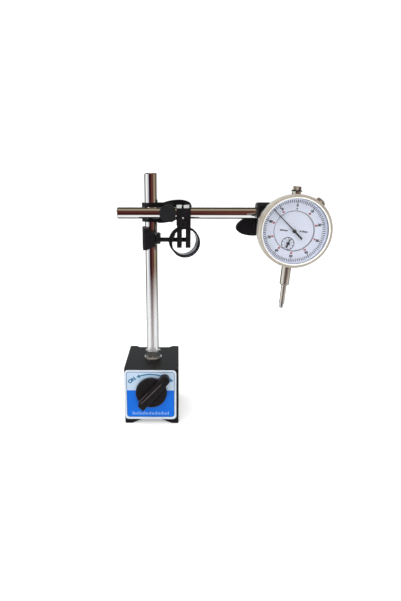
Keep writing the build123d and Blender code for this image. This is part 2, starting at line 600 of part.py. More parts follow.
with BuildPart() as centre_bridge:
    slab(dial(BRIDGE_BACK), BRIDGE_T, (-17, -3), (17, 3))
    bore(dial(BRIDGE_BACK), BRIDGE_T, FINE_ARBOR_R + 0.03)
    for place in pillar_places[:2]:
        bore(dial(BRIDGE_BACK), BRIDGE_T, 1.5, place)
save("centre_bridge", centre_bridge.part)

with BuildPart() as movement_front_plate:
    rod(dial(SHELF_FRONT), CASE_FRONT - SHELF_FRONT, CASE_IN - 0.1)
    for place, radius in [*arbor_places, ((0, 0), FINE_ARBOR_R)]:
        bore(dial(SHELF_FRONT), 2, radius + 0.03, place)
    for place in pillar_places:
        bore(dial(SHELF_FRONT), 2, 0.8, place)
save("movement_front_plate", movement_front_plate.part)

with BuildPart() as movement_pillars:
    for place in pillar_places:
        rod(dial(PLATE_BACK + PLATE_T), SHELF_FRONT - PLATE_BACK - PLATE_T, 1.5, place)
        rod(dial(PLATE_BACK), CASE_FRONT - PLATE_BACK, 0.8, place)
save("movement_pillars", movement_pillars.part)

with BuildPart() as inner_dial:
    rod(dial(CASE_FRONT), 0.5, INNER_DIAL_R)
    bore(dial(CASE_FRONT), 0.5, 1.0)
    bore(dial(CASE_FRONT), 0.5, 1.0, (PINION_X, PINION_Y))
save("inner_dial", inner_dial.part)

with BuildPart() as counter_arbor:
    rod(dial(PLATE_BACK), 9.0 - PLATE_BACK, ARBOR_R, (PINION_X, PINION_Y))
    gear(dial(-1.3), 2.6, PINION_TEETH, (PINION_X, PINION_Y), 180 / PINION_TEETH)
    gear(dial(WHEEL_BACK), WHEEL_T, WHEEL_TEETH, (PINION_X, PINION_Y),
         mesh_angle + 180 / WHEEL_TEETH)
save("counter_arbor", counter_arbor.part)

with BuildPart() as centre_pinion:
    rod(dial(BRIDGE_BACK), 10.2 - BRIDGE_BACK, FINE_ARBOR_R)
    gear(dial(WHEEL_BACK - 0.4), WHEEL_T + 0.8, CENTRE_TEETH, (0, 0), mesh_angle + 180)
save("centre_pinion", centre_pinion.part)

with BuildPart() as hairspring_gear:
    rod(dial(PLATE_BACK), CASE_FRONT - PLATE_BACK, FINE_ARBOR_R, (SPRING_GEAR_X, SPRING_GEAR_Y))
    gear(dial(WHEEL_BACK), WHEEL_T, WHEEL_TEETH, (SPRING_GEAR_X, SPRING_GEAR_Y),
         mesh_angle + 180 + 180 / WHEEL_TEETH)
save("hairspring_gear", hairspring_gear.part)

COIL_TURNS, COIL_START, COIL_PITCH, COIL_T = 5, 0.95, 0.6, 0.12
with BuildPart() as hairspring:
    with BuildSketch(dial(WHEEL_BACK + WHEEL_T + 0.2)):
        with BuildLine():
            steps = [t / 12 for t in range(12 * COIL_TURNS + 1)]
            coil = [(COIL_START + COIL_PITCH * t, 2 * pi * t) for t in steps]
            inside = Spline(*[(SPRING_GEAR_X + r * cos(a), SPRING_GEAR_Y + r * sin(a)) for r, a in coil])
            outside = Spline(*[(SPRING_GEAR_X + (r + COIL_T) * cos(a),
                                SPRING_GEAR_Y + (r + COIL_T) * sin(a)) for r, a in coil])
            Line(inside @ 0, outside @ 0)
            Line(inside @ 1, outside @ 1)
        make_face()
    extrude(amount=0.5)
save("hairspring", hairspring.part)

COLLAR_Y = 11.6
with BuildPart() as return_spring:
    coil_path = Helix(2.4, 12.0, 2.9, center=on_gauge(0, COLLAR_Y + 1.3, 0), direction=GAUGE.y_dir)
    with BuildSketch(Plane(origin=coil_path @ 0, z_dir=coil_path % 0)):
        Circle(0.22)
    sweep(path=coil_path)
save("return_spring", return_spring.part)

# ---------------------------------------------------------------- gauge: spindle
with BuildPart() as spindle:
    rod(along_spindle(SPINDLE_END), BUSH_TOP + 1.2 - SPINDLE_END, SPINDLE_R)
    rod(along_spindle(BUSH_TOP + 1.2), 2.8, 1.5)
    rod(along_spindle(COLLAR_Y), 0.8, 2.95)
    rack_top = PINION_Y + 2.5 * pi * MODULE
    rack_bottom = rack_top - RACK_TEETH * pi * MODULE
    cut(dial(-4), 8, (-SPINDLE_R - 1, rack_bottom), (rack_line + DEDENDUM, rack_top))
    for tooth in range(RACK_TEETH):
        middle = PINION_Y + (2 - tooth) * pi * MODULE
        half = pi * MODULE / 2
        prism(dial(-1.1), 2.2, [
            (rack_line + DEDENDUM + 0.1, middle - half * ROOT_SHARE),
            (rack_line - ADDENDUM, middle - half * TIP_SHARE),
            (rack_line - ADDENDUM, middle + half * TIP_SHARE),
            (rack_line + DEDENDUM + 0.1, middle + half * ROOT_SHARE)])
    bore(along_spindle(SPINDLE_END), 3.5, 1.2)
    bore(dial(-3), 6, 0.7, (0, 4.0))
save("spindle", spindle.part)

with BuildPart() as spindle_guide_pin:
    rod(dial(PLATE_BACK + 0.2), -PLATE_BACK + 1.8, 0.7, (0, 4.0))
save("spindle_guide_pin", spindle_guide_pin.part)

with BuildPart() as contact_point:
    rod(along_spindle(SPINDLE_END - 1.8), 1.8, SPINDLE_R)
    rod(along_spindle(TIP_END + 1.6), SPINDLE_END - 1.8 - TIP_END - 1.6, 1.75)
    rod(along_spindle(SPINDLE_END), 3.5, 1.2)
    ball_plane = Plane(origin=on_gauge(0, TIP_END + 1.7, 0), x_dir=GAUGE.x_dir, z_dir=GAUGE.z_dir)
    with BuildSketch(ball_plane) as half_ball:
        Circle(1.7)
        with Locations((-1.7, 0)):
            Rectangle(3.4, 3.4, mode=Mode.SUBTRACT)
    revolve(half_ball.sketch, axis=Axis(ball_plane.origin, GAUGE.y_dir))
save("contact_point", contact_point.part)

with BuildPart() as cap_cushion:
    rod(along_spindle(BUSH_TOP + 0.2), 1.0, 4.2)
    fillet(cap_cushion.edges(), 0.3)
    bore(along_spindle(BUSH_TOP), 2, SPINDLE_R)
save("cap_cushion", cap_cushion.part)

with BuildPart() as lifting_cap:
    rod(along_spindle(BUSH_TOP + 1.2), CAP_TOP - BUSH_TOP - 1.2, 3.4)
    chamfer(lifting_cap.faces().sort_by(Axis.Z)[-1].edges(), 0.4)
    bore(along_spindle(BUSH_TOP + 1.2), 2.8, 1.5)
save("lifting_cap", lifting_cap.part)

# ---------------------------------------------------------------- gauge: hands
POINTER_DIVISION = 86.4                # where the long hand stands, of 100 divisions
COUNTER_ANGLE = -19.0                  # lean of the revolution counter's hand
swing = radians(-3.6 * POINTER_DIVISION)
pointer_plane = Plane(origin=dial(10.0).origin, z_dir=GAUGE.z_dir,
                      x_dir=GAUGE.x_dir * cos(swing) + GAUGE.y_dir * sin(swing))
with BuildPart() as pointer_hand:
    prism(pointer_plane, 0.35, [(-0.55, 0), (-0.25, 24.2), (0.25, 24.2), (0.55, 0)])
    prism(pointer_plane, 0.35, [(-0.55, 0), (-0.8, -8.9), (0.8, -8.9), (0.55, 0)])
    rod(dial(9.4), 1.5, 1.5)
    bore(dial(9.4), 0.8, FINE_ARBOR_R)
save("pointer_hand", pointer_hand.part)

count = radians(COUNTER_ANGLE)
counter_plane = Plane(origin=on_gauge(PINION_X, PINION_Y, 8.7), z_dir=GAUGE.z_dir,
                      x_dir=GAUGE.x_dir * cos(count) + GAUGE.y_dir * sin(count))
with BuildPart() as counter_hand:
    rod(dial(8.5), 0.7, 1.35, (PINION_X, PINION_Y))
    prism(counter_plane, 0.3, [(-0.75, -3.5), (0.75, -3.5), (0.4, 4.1), (-0.4, 4.1)])
    bore(dial(8.5), 0.5, ARBOR_R, (PINION_X, PINION_Y))
save("counter_hand", counter_hand.part)

# ---------------------------------------------------------------- gauge: bezel
BEZEL_BACK, BEZEL_FRONT = 4.4, 14.8
SEAT_BACK, SEAT_FRONT = 7.5, 8.2
CRYSTAL_BACK, CRYSTAL_FRONT, CRYSTAL_R = 11.6, 12.8, 26.8
bezel_plane = Plane(origin=GAUGE.origin, x_dir=GAUGE.x_dir, z_dir=-GAUGE.y_dir)
with BuildPart() as bezel_ring:
    turned(bezel_plane, [
        (BEZEL_R, BEZEL_BACK), (BEZEL_R, BEZEL_FRONT - 1.2), (BEZEL_R - 1.0, BEZEL_FRONT),
        (CRYSTAL_R, BEZEL_FRONT), (CRYSTAL_R - 0.9, BEZEL_FRONT - 0.9),
        (CRYSTAL_R - 0.9, CRYSTAL_FRONT), (CRYSTAL_R, CRYSTAL_FRONT), (CRYSTAL_R, SEAT_FRONT),
        (24.9, SEAT_FRONT), (24.9, SEAT_BACK), (CASE_R + 0.08, SEAT_BACK),
        (CASE_R + 0.08, BEZEL_BACK)])
save("bezel_ring", bezel_ring.part)

with BuildPart() as dial_scale_ring:
    rod(dial(SEAT_FRONT), 0.4, SCALE_OUT)
    bore(dial(SEAT_FRONT), 0.4, SCALE_IN)
save("dial_scale_ring", dial_scale_ring.part)

with BuildPart() as crystal_spacer:
    rod(dial(SEAT_FRONT + 0.4), CRYSTAL_BACK - SEAT_FRONT - 0.4, CRYSTAL_R)
    bore(dial(SEAT_FRONT), 5, CRYSTAL_R - 1.1)
save("crystal_spacer", crystal_spacer.part)

with BuildPart() as crystal:
    rod(dial(CRYSTAL_BACK), CRYSTAL_FRONT - CRYSTAL_BACK, CRYSTAL_R)
save("crystal", crystal.part)

with BuildPart() as bezel_clamp_screw:
    rod(lock_plane.offset(CASE_IN - 0.6), 4.0, 1.5)
    rod(lock_plane.offset(CASE_R + FACE), 5.4 - FACE, 4.2)
    chamfer(bezel_clamp_screw.faces().sort_by(lambda f: lock_plane.to_local_coords(f.center()).Z)[-1]
            .edges(), 0.6)
save("bezel_clamp_screw", bezel_clamp_screw.part)
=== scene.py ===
"""Finishes, printed artwork, fine detail, light and camera for the dial indicator on its
magnetic base.  Shapes are drawn in millimetres on local frames and placed in metres."""

import json
import math

import bmesh
import bpy
from mathutils import Matrix, Vector


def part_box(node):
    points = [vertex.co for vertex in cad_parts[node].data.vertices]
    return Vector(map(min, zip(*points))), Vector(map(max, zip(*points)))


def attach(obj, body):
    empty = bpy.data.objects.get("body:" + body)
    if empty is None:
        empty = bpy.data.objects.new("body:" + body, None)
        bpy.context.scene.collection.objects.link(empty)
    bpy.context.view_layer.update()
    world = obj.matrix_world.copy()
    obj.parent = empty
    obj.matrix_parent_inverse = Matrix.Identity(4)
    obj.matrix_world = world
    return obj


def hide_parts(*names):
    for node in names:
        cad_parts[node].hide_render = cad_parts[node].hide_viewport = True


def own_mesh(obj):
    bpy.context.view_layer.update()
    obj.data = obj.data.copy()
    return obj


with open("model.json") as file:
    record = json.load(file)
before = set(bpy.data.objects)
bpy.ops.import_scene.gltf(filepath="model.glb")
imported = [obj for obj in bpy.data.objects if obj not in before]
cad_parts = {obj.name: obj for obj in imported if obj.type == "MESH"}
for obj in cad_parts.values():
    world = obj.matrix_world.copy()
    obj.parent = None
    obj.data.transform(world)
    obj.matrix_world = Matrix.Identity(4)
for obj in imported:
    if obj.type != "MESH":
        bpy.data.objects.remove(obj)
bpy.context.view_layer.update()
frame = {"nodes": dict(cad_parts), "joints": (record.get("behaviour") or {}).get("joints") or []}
nodes = frame["nodes"]
scene = bpy.context.scene
MM = 0.001
X, Y, Z = Vector((1, 0, 0)), Vector((0, 1, 0)), Vector((0, 0, 1))


# ---------------------------------------------------------------- local frames
def placed(origin, right, up):
    """Matrix from local millimetres (right, up, out) to the object's metres."""
    out = right.cross(up)
    turn = Matrix((right, up, out)).transposed().to_4x4()
    return Matrix.Translation(origin) @ turn @ Matrix.Scale(MM, 4)


def joint(name):
    return next(j for j in frame["joints"] if j["name"] == name)


spindle_up = Vector(joint("spindle_travel")["axis"]).normalized()
gauge_right = spindle_up.cross(-Y)
gauge_centre = Vector(joint("bezel_turn")["pos_m"])
case_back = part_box("gauge_case")[1].y
GAUGE_ZERO_FROM_BACK = 7.0             # the gauge's own zero plane, from the case's back

base_out = Vector(joint("switch_turn")["axis"]).normalized()
base_right = Z.cross(base_out)


def reach(node, direction):
    """How far a node reaches in a direction from the origin, in metres."""
    return max(v.co.dot(direction) for v in nodes[node].data.vertices)


def label_frame():
    """Right, up and out of the label plate's face, level with the ground under its middle."""
    plate = "front_label_plate"
    middle = (reach(plate, base_right) - reach(plate, -base_right)) / 2
    return placed(base_out * reach(plate, base_out) + base_right * middle, base_right, Z)


def gauge_frame(height=0.0):
    """Right, spindle up and towards the user, at a height above the gauge's zero plane."""
    y = case_back - (GAUGE_ZERO_FROM_BACK + height) * MM
    return placed(Vector((gauge_centre.x, y, gauge_centre.z)), gauge_right, spindle_up)


def spindle_frame():
    """Towards the user, gauge's right, and local out up the spindle."""
    return placed(gauge_frame().translation, -Y, gauge_right)


# ---------------------------------------------------------------- materials
WEAR_SCALE = 420.0                     # noise scale that breaks worn edges into patches
LACQUER_ROUGH, SURFACE_IOR = 0.15, 1.5


def noise(tree, place, scale, detail=4.0, stretch=(1, 1, 1)):
    mapping = tree.nodes.new("ShaderNodeMapping")
    mapping.inputs["Scale"].default_value = stretch
    tree.links.new(place, mapping.inputs["Vector"])
    pattern = tree.nodes.new("ShaderNodeTexNoise")
    pattern.inputs["Scale"].default_value = scale
    pattern.inputs["Detail"].default_value = detail
    tree.links.new(mapping.outputs["Vector"], pattern.inputs["Vector"])
    return pattern.outputs["Fac"]


def spread(tree, value, low, high, start=0.3, end=0.7):
    """Maps a noise's middle range onto low..high."""
    node = tree.nodes.new("ShaderNodeMapRange")
    node.inputs["From Min"].default_value = start
    node.inputs["From Max"].default_value = end
    node.inputs["To Min"].default_value = low
    node.inputs["To Max"].default_value = high
    tree.links.new(value, node.inputs["Value"])
    return node.outputs["Result"]


def blend_colours(tree, factor, first, second):
    node = tree.nodes.new("ShaderNodeMix")
    node.data_type = "RGBA"
    tree.links.new(factor, node.inputs["Factor"])
    for socket, colour in (("A", first), ("B", second)):
        target = next(s for s in node.inputs if s.name == socket and s.type == "RGBA")
        if isinstance(colour, bpy.types.NodeSocket):
            tree.links.new(colour, target)
        else:
            target.default_value = (*colour, 1)
    return next(s for s in node.outputs if s.type == "RGBA")


def worn_edges(tree, radius):
    """Factor near 1 along the piece's edges."""
    bevel = tree.nodes.new("ShaderNodeBevel")
    bevel.samples = 6
    bevel.inputs["Radius"].default_value = radius
    flat = tree.nodes.new("ShaderNodeNewGeometry")
    dot = tree.nodes.new("ShaderNodeVectorMath")
    dot.operation = "DOT_PRODUCT"
    tree.links.new(bevel.outputs["Normal"], dot.inputs[0])
    tree.links.new(flat.outputs["Normal"], dot.inputs[1])
    return spread(tree, dot.outputs["Value"], 1.0, 0.0, 0.86, 0.985)


def finish(name, colour, second=None, metallic=0.0, rough=(0.35, 0.45), tone=250.0,
           grain=1800.0, bump=0.08, depth=2e-5, stretch=(1, 1, 1), wear=None, coat=0.0,
           gloss=0.5):
    """A procedural surface: slow colour variation, fine grain in roughness and relief, and
    with wear = (radius, colour, share) paler worn edges."""
    material = bpy.data.materials.new(name)
    material.use_nodes = True
    tree = material.node_tree
    shader = tree.nodes["Principled BSDF"]
    place = tree.nodes.new("ShaderNodeTexCoord").outputs["Object"]
    slow = noise(tree, place, tone, 3.0)
    fine = noise(tree, place, grain, 5.0, stretch)
    paint = blend_colours(tree, spread(tree, slow, 0, 1), colour,
                          second or tuple(0.8 * c for c in colour))
    if wear:
        radius, bare, share = wear
        edge = worn_edges(tree, radius)
        patchy = tree.nodes.new("ShaderNodeMath")
        patchy.operation = "MULTIPLY"
        tree.links.new(edge, patchy.inputs[0])
        tree.links.new(spread(tree, noise(tree, place, WEAR_SCALE), 0, share),
                       patchy.inputs[1])
        paint = blend_colours(tree, patchy.outputs[0], paint, bare)
    tree.links.new(paint, shader.inputs["Base Color"])
    tree.links.new(spread(tree, fine, *rough), shader.inputs["Roughness"])
    relief = tree.nodes.new("ShaderNodeBump")
    relief.inputs["Strength"].default_value = bump
    relief.inputs["Distance"].default_value = depth
    tree.links.new(fine, relief.inputs["Height"])
    tree.links.new(relief.outputs["Normal"], shader.inputs["Normal"])
    shader.inputs["Metallic"].default_value = metallic
    shader.inputs["IOR"].default_value = SURFACE_IOR
    shader.inputs["Coat Weight"].default_value = coat
    shader.inputs["Coat Roughness"].default_value = LACQUER_ROUGH
    shader.inputs["Specular IOR Level"].default_value = gloss
    return material


PAINT = finish("satin_black_paint", (0.005, 0.005, 0.0055), (0.009, 0.009, 0.0095),
               rough=(0.34, 0.5), grain=2600, bump=0.35, depth=6e-5, gloss=0.22,
               wear=(4e-4, (0.05, 0.048, 0.046), 0.45))
CLAMP = finish("black_oxide", (0.006, 0.006, 0.007), (0.011, 0.010, 0.012),
               rough=(0.3, 0.44), grain=3000, bump=0.25, depth=4e-5, gloss=0.25,
               wear=(3e-4, (0.06, 0.06, 0.064), 0.45))
STUD_FACE = finish("turned_grey_face", (0.009, 0.0102, 0.0118), (0.013, 0.0145, 0.016),
                   rough=(0.5, 0.62), grain=3500, bump=0.3, depth=3e-5, gloss=0.25,
                   wear=(4e-4, (0.14, 0.145, 0.15), 0.9))
# bright steel laid on the fork's top edge and front: painted highlights
FORK_HIGHLIGHT_STEEL = finish("painted_highlight_steel", (0.5, 0.51, 0.5), (0.36, 0.37, 0.36), rough=(0.3, 0.42),
                   grain=1800, bump=0.15)
KNOB = finish("moulded_knob", (0.0075, 0.006, 0.0075), (0.011, 0.009, 0.011),
              rough=(0.36, 0.5), grain=2400, bump=0.3, depth=5e-5, gloss=0.22,
              wear=(3e-4, (0.035, 0.032, 0.034), 0.5))
WING = finish("moulded_wing", (0.006, 0.005, 0.007), (0.010, 0.008, 0.011),
              rough=(0.4, 0.56), grain=2000, bump=0.3, depth=6e-5, gloss=0.25,
              wear=(4e-4, (0.035, 0.033, 0.035), 0.5))
GROUND_STEEL = finish("ground_steel", (0.46, 0.46, 0.465), (0.36, 0.36, 0.365), metallic=1,
                      rough=(0.22, 0.38), grain=900, bump=0.15, stretch=(1, 14, 1))
# pale colour for the knob's ridges: a painted highlight along them
KNOB_RIDGE_HIGHLIGHT = finish("knob_ridge_painted_highlight", (0.22, 0.18, 0.19), (0.14, 0.11, 0.12),
                   rough=(0.3, 0.4), tone=300, grain=2400, bump=0.1)
PALE_FOOT_LOW, PALE_FOOT_HIGH = 0.07, 0.14         # heights between which the column's paler foot, a painted reflection of the bright floor, ends
PALE_FOOT_METALLIC = 0.6


def chrome(name):
    return finish(name, (0.90, 0.90, 0.91), (0.86, 0.86, 0.88), metallic=1,
                  rough=(0.035, 0.075), tone=60, grain=90, bump=0.12, depth=4e-5)


def dulled_chrome():
    """Chrome made partly diffuse towards the foot, so the foot is paler: a painted reflection of
    the bright floor below.
    """
    material = chrome("dulled_chrome")
    tree = material.node_tree
    shader = tree.nodes["Principled BSDF"]
    parts = tree.nodes.new("ShaderNodeSeparateXYZ")
    tree.links.new(tree.nodes.new("ShaderNodeTexCoord").outputs["Object"],
                   parts.inputs["Vector"])
    # less metallic towards the foot: painted reflection of the floor
    metallic = spread(tree, parts.outputs["Z"], PALE_FOOT_METALLIC, 1.0, PALE_FOOT_LOW, PALE_FOOT_HIGH)
    tree.links.new(metallic, shader.inputs["Metallic"])
    return material


COLUMN_CHROME = dulled_chrome()
CHROME = chrome("hard_chrome")
BRIGHT_STEEL = finish("bright_steel", (0.72, 0.72, 0.73), (0.62, 0.62, 0.63), metallic=1,
                      rough=(0.14, 0.26), grain=1400, bump=0.1, stretch=(1, 1, 6))
DARK_STEEL = finish("dark_steel", (0.10, 0.10, 0.105), (0.07, 0.07, 0.075), metallic=1,
                    rough=(0.28, 0.4), grain=2000, bump=0.1)
FERRITE = finish("sintered_ferrite", (0.05, 0.05, 0.055), (0.08, 0.08, 0.085),
                 rough=(0.6, 0.8), grain=2500, bump=0.5, depth=8e-5)
BRASS = finish("fine_brushed_brass", (0.66, 0.46, 0.18), (0.58, 0.40, 0.15), metallic=1,
               rough=(0.22, 0.36), grain=900, bump=0.12, stretch=(1, 1, 14))
ALUMINIUM = finish("turned_aluminium", (0.66, 0.67, 0.69), (0.58, 0.59, 0.61), metallic=1,
                   rough=(0.28, 0.4), grain=1300, bump=0.15, stretch=(4, 1, 4))
NICKEL = finish("champagne_nickel", (0.74, 0.70, 0.635), (0.68, 0.635, 0.565), metallic=0.92,
                rough=(0.14, 0.24), tone=90, grain=1500, bump=0.05)
BEZEL = finish("satin_champagne", (0.60, 0.555, 0.475), (0.55, 0.505, 0.43), metallic=0.45,
               rough=(0.26, 0.36), tone=90, grain=1500, bump=0.05)
# near-white for the bezel's bevel: a painted highlight
BEZEL_BEVEL_HIGHLIGHT = finish("champagne_painted_highlight", (0.97, 0.96, 0.92), (0.93, 0.92, 0.87),
               rough=(0.2, 0.28), tone=90, grain=1500, bump=0.04)
PLATED = finish("zinc_plate", (0.84, 0.86, 0.84), (0.74, 0.76, 0.74), metallic=0.9,
                rough=(0.12, 0.2), tone=300, grain=1500, bump=0.08)
RING_BRIGHT = finish("brushed_spring", (0.56, 0.57, 0.59), (0.42, 0.43, 0.45), metallic=1,
                     rough=(0.26, 0.4), grain=1200, bump=0.15, stretch=(1, 8, 1))
DIAL_WHITE = finish("dial_enamel", (0.70, 0.75, 0.86), (0.68, 0.73, 0.845),
                    rough=(0.5, 0.6), tone=120, grain=3000, bump=0.05, gloss=0.3)
INK = finish("black_ink", (0.018, 0.018, 0.022), rough=(0.5, 0.6), grain=3000, bump=0.05)
RED_INK = finish("red_ink", (0.42, 0.03, 0.04), rough=(0.5, 0.6), grain=3000, bump=0.05)
# grey for the ring at the step to the inner dial: painted shade
STEP_EDGE_SHADE = finish("grey_step_painted_shade", (0.11, 0.12, 0.145), rough=(0.5, 0.6), grain=3000, bump=0.05)
HAND = finish("blackened_hand", (0.012, 0.012, 0.013), rough=(0.35, 0.45), bump=0.05)
RUBBER = finish("black_rubber", (0.012, 0.012, 0.012), rough=(0.6, 0.75), bump=0.4)
SILVER_SHEET = finish("silver_sheet", (0.62, 0.69, 0.77), (0.55, 0.62, 0.71),
                      rough=(0.3, 0.42), tone=120, grain=1500, bump=0.06, coat=0.2)
SKY_PRINT = finish("pale_print", (0.50, 0.60, 0.71), (0.40, 0.55, 0.72),
                   rough=(0.34, 0.44), tone=45, grain=1500, bump=0.05, coat=0.2)
BLUE_PRINT = finish("blue_print", (0.0, 0.14, 0.66), (0.0, 0.12, 0.60),
                    rough=(0.34, 0.44), tone=60, grain=1500, bump=0.05, gloss=0.2)
LINE_PRINT = finish("line_print", (0.02, 0.09, 0.20), rough=(0.35, 0.45), bump=0.05)
TEAL_PRINT = finish("teal_print", (0.012, 0.16, 0.33), rough=(0.35, 0.45), bump=0.05)


CRYSTAL_IOR = 1.16                     # low, so that the dial is seen without strong glare


def crystal_material():
    """Clear glass that lets lamp light through to the dial."""
    material = bpy.data.materials.new("clear_crystal")
    material.use_nodes = True
    tree = material.node_tree
    shader = tree.nodes["Principled BSDF"]
    shader.inputs["Base Color"].default_value = (0.985, 0.99, 1.0, 1)
    shader.inputs["Transmission Weight"].default_value = 1.0
    shader.inputs["IOR"].default_value = CRYSTAL_IOR
    place = tree.nodes.new("ShaderNodeTexCoord").outputs["Object"]
    smears = spread(tree, noise(tree, place, 130.0, 3.0), 0.0, 0.004)
    tree.links.new(smears, shader.inputs["Roughness"])
    clear = tree.nodes.new("ShaderNodeBsdfTransparent")
    path = tree.nodes.new("ShaderNodeLightPath")
    pick = tree.nodes.new("ShaderNodeMixShader")
    tree.links.new(path.outputs["Is Shadow Ray"], pick.inputs["Fac"])
    tree.links.new(shader.outputs["BSDF"], pick.inputs[1])
    tree.links.new(clear.outputs["BSDF"], pick.inputs[2])
    output = tree.nodes["Material Output"]
    tree.links.new(pick.outputs["Shader"], output.inputs["Surface"])
    return material


CRYSTAL = crystal_material()

NODE_FINISH = {
    PAINT: ["base_pole_left", "base_pole_right", "base_separator"],
    BRASS: ["movement_back_plate", "centre_bridge", "movement_front_plate",
            "counter_arbor", "hairspring_gear", "centre_pinion"],
    PLATED: ["column_washer", "column_lock_nut"],
    BRIGHT_STEEL: ["base_tie_bolts", "back_cover_screws", "spindle_guide_pin",
                   "movement_pillars", "hairspring", "return_spring", "eye_washer",
                   "clamp_washer", "clamp_bolt", "lug_screw", "contact_point"],
    DARK_STEEL: ["rotor_shaft", "rotor_pole_shoes", "knob_grub_screw", "fork_clamp_nut"],
    FERRITE: ["rotor_magnet"],
    ALUMINIUM: ["front_bearing_plate", "rear_cover"],
    SILVER_SHEET: ["front_label_plate"],
    KNOB: ["switch_knob"],
    COLUMN_CHROME: ["column_rod"],
    CHROME: ["arm_rod"],
    CLAMP: ["upper_column_strap", "lower_column_clamp", "fork_strap", "fork_clamp_screw",
            "trunnion_block", "fine_screw", "gauge_clamp_strap", "gauge_link"],
    STUD_FACE: ["eye_stud"],
    WING: ["rear_wing_knob", "gauge_wing_knob"],
    RING_BRIGHT: ["spring_ring"],
    NICKEL: ["gauge_case", "back_cover", "stem", "spindle", "upper_bushing", "lifting_cap",
             "bezel_clamp_screw"],
    BEZEL: ["bezel_ring"],
    RUBBER: ["cap_cushion"],
    DIAL_WHITE: ["dial_scale_ring", "inner_dial", "crystal_spacer"],
    HAND: ["pointer_hand", "counter_hand"],
    CRYSTAL: ["crystal"],
}
for material, names in NODE_FINISH.items():
    for node_name in names:
        mesh = nodes[node_name].data
        mesh.materials.clear()
        mesh.materials.append(material)


def refinish(node_name, material, chosen):
    """Gives a second finish to the faces for which chosen(centre, normal) holds."""
    mesh = nodes[node_name].data
    mesh.materials.append(material)
    for face in mesh.polygons:
        if chosen(face.center, face.normal):
            face.material_index = len(mesh.materials) - 1


DOWN_LEAN, INWARD_LEAN = 0.3, 0.7      # least lean of a face that counts as down or inside


def faces_down(centre, normal):
    return normal.z < -DOWN_LEAN


# the underside is ground bare after painting
for name in ("base_pole_left", "base_pole_right"):
    refinish(name, GROUND_STEEL, faces_down)
refinish("base_separator", BRASS, faces_down)

BEVEL_LEAN = 0.2                       # how far the bevel leans to the front and inwards


def on_bevel(centre, normal):
    inwards = (gauge_centre - centre).normalized()
    return normal.y < -BEVEL_LEAN and normal.dot(inwards) > BEVEL_LEAN


# the bezel's bevel towards the crystal is coloured near-white, a painted highlight
refinish("bezel_ring", BEZEL_BEVEL_HIGHLIGHT, on_bevel)

# the spring ring is bright inside and black on its edge and outside
ring_low, ring_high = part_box("spring_ring")
ring_guess = (ring_low + ring_high) / 2
ring_guess.z = ring_low.z + (ring_high.x - ring_low.x) / 2


def inside_ring(centre, normal):
    return normal.dot((ring_guess - centre).normalized()) > INWARD_LEAN


refinish("spring_ring", CLAMP, lambda centre, normal: not inside_ring(centre, normal))
ring_faces = [f for f in nodes["spring_ring"].data.polygons if inside_ring(f.center, f.normal)]
first_normal = ring_faces[0].normal
other_normal = min((f.normal for f in ring_faces), key=lambda n: abs(n.dot(first_normal)))
ring_axis = first_normal.cross(other_normal).normalized()
if ring_axis.y > 0:
    ring_axis.negate()


# ---------------------------------------------------------------- mesh building
def loft(bm, rings, mat=0, caps=True, closed=False):
    """Walls between rings of equal count; closed joins the last ring to the first."""
    loops = [[bm.verts.new(p) for p in ring] for ring in rings]
    pairs = list(zip(loops, loops[1:])) + ([(loops[-1], loops[0])] if closed else [])
    for low, high in pairs:
        for i in range(len(low)):
            j = (i + 1) % len(low)
            bm.faces.new((low[i], low[j], high[j], high[i])).material_index = mat
    if caps and not closed:
        bm.faces.new(loops[0][::-1]).material_index = mat
        bm.faces.new(loops[-1]).material_index = mat


def prism(bm, outline, low, high, mat=0, caps=True):
    """A bar over an anticlockwise outline."""
    loft(bm, [[(x, y, level) for x, y in outline] for level in (low, high)], mat, caps)


def circle(radius, count=96, centre=(0, 0), start=0.0, sweep=360.0):
    turns = [math.radians(start + sweep * i / count) for i in range(count)]
    x, y = centre
    return [(x + radius * math.cos(t), y + radius * math.sin(t)) for t in turns]


CORNER_STEPS = 8


def rounded(width, low, high, radius):
    """A rounded rectangle about the vertical axis, anticlockwise."""
    points = []
    corners = [(width / 2 - radius, high - radius, 0), (-width / 2 + radius, high - radius, 90),
               (-width / 2 + radius, low + radius, 180), (width / 2 - radius, low + radius, 270)]
    for cx, cy, start in corners:
        for i in range(CORNER_STEPS + 1):
            t = math.radians(start + 90 * i / CORNER_STEPS)
            points.append((cx + radius * math.cos(t), cy + radius * math.sin(t)))
    return points


def sheet(bm, loops, low, high, mat=0):
    """A thin layer bounded by an outer loop, with any further loops as holes."""
    for level in (low, high):
        edges = []
        for loop in loops:
            verts = [bm.verts.new((x, y, level)) for x, y in loop]
            edges += [bm.edges.new((verts[i], verts[(i + 1) % len(verts)]))
                      for i in range(len(verts))]
        made = bmesh.ops.triangle_fill(bm, edges=edges, use_beauty=True)["geom"]
        for face in made:
            if isinstance(face, bmesh.types.BMFace):
                face.material_index = mat
    for loop in loops:
        prism(bm, loop, low, high, mat, caps=False)


def turned(bm, profile, count, ripple=None):
    """A closed profile of (radius, height) turned about local out. ripple = (rows, depth)
    pulls every other vertex of those profile rows inwards, as a knurl does."""
    rings = []
    for row, (radius, height) in enumerate(profile):
        ring = []
        for i in range(count):
            t = 2 * math.pi * i / count
            r = radius - (ripple[1] if ripple and row in ripple[0] and i % 2 else 0)
            ring.append((r * math.cos(t), r * math.sin(t), height))
        rings.append(ring)
    loft(bm, rings, closed=True)


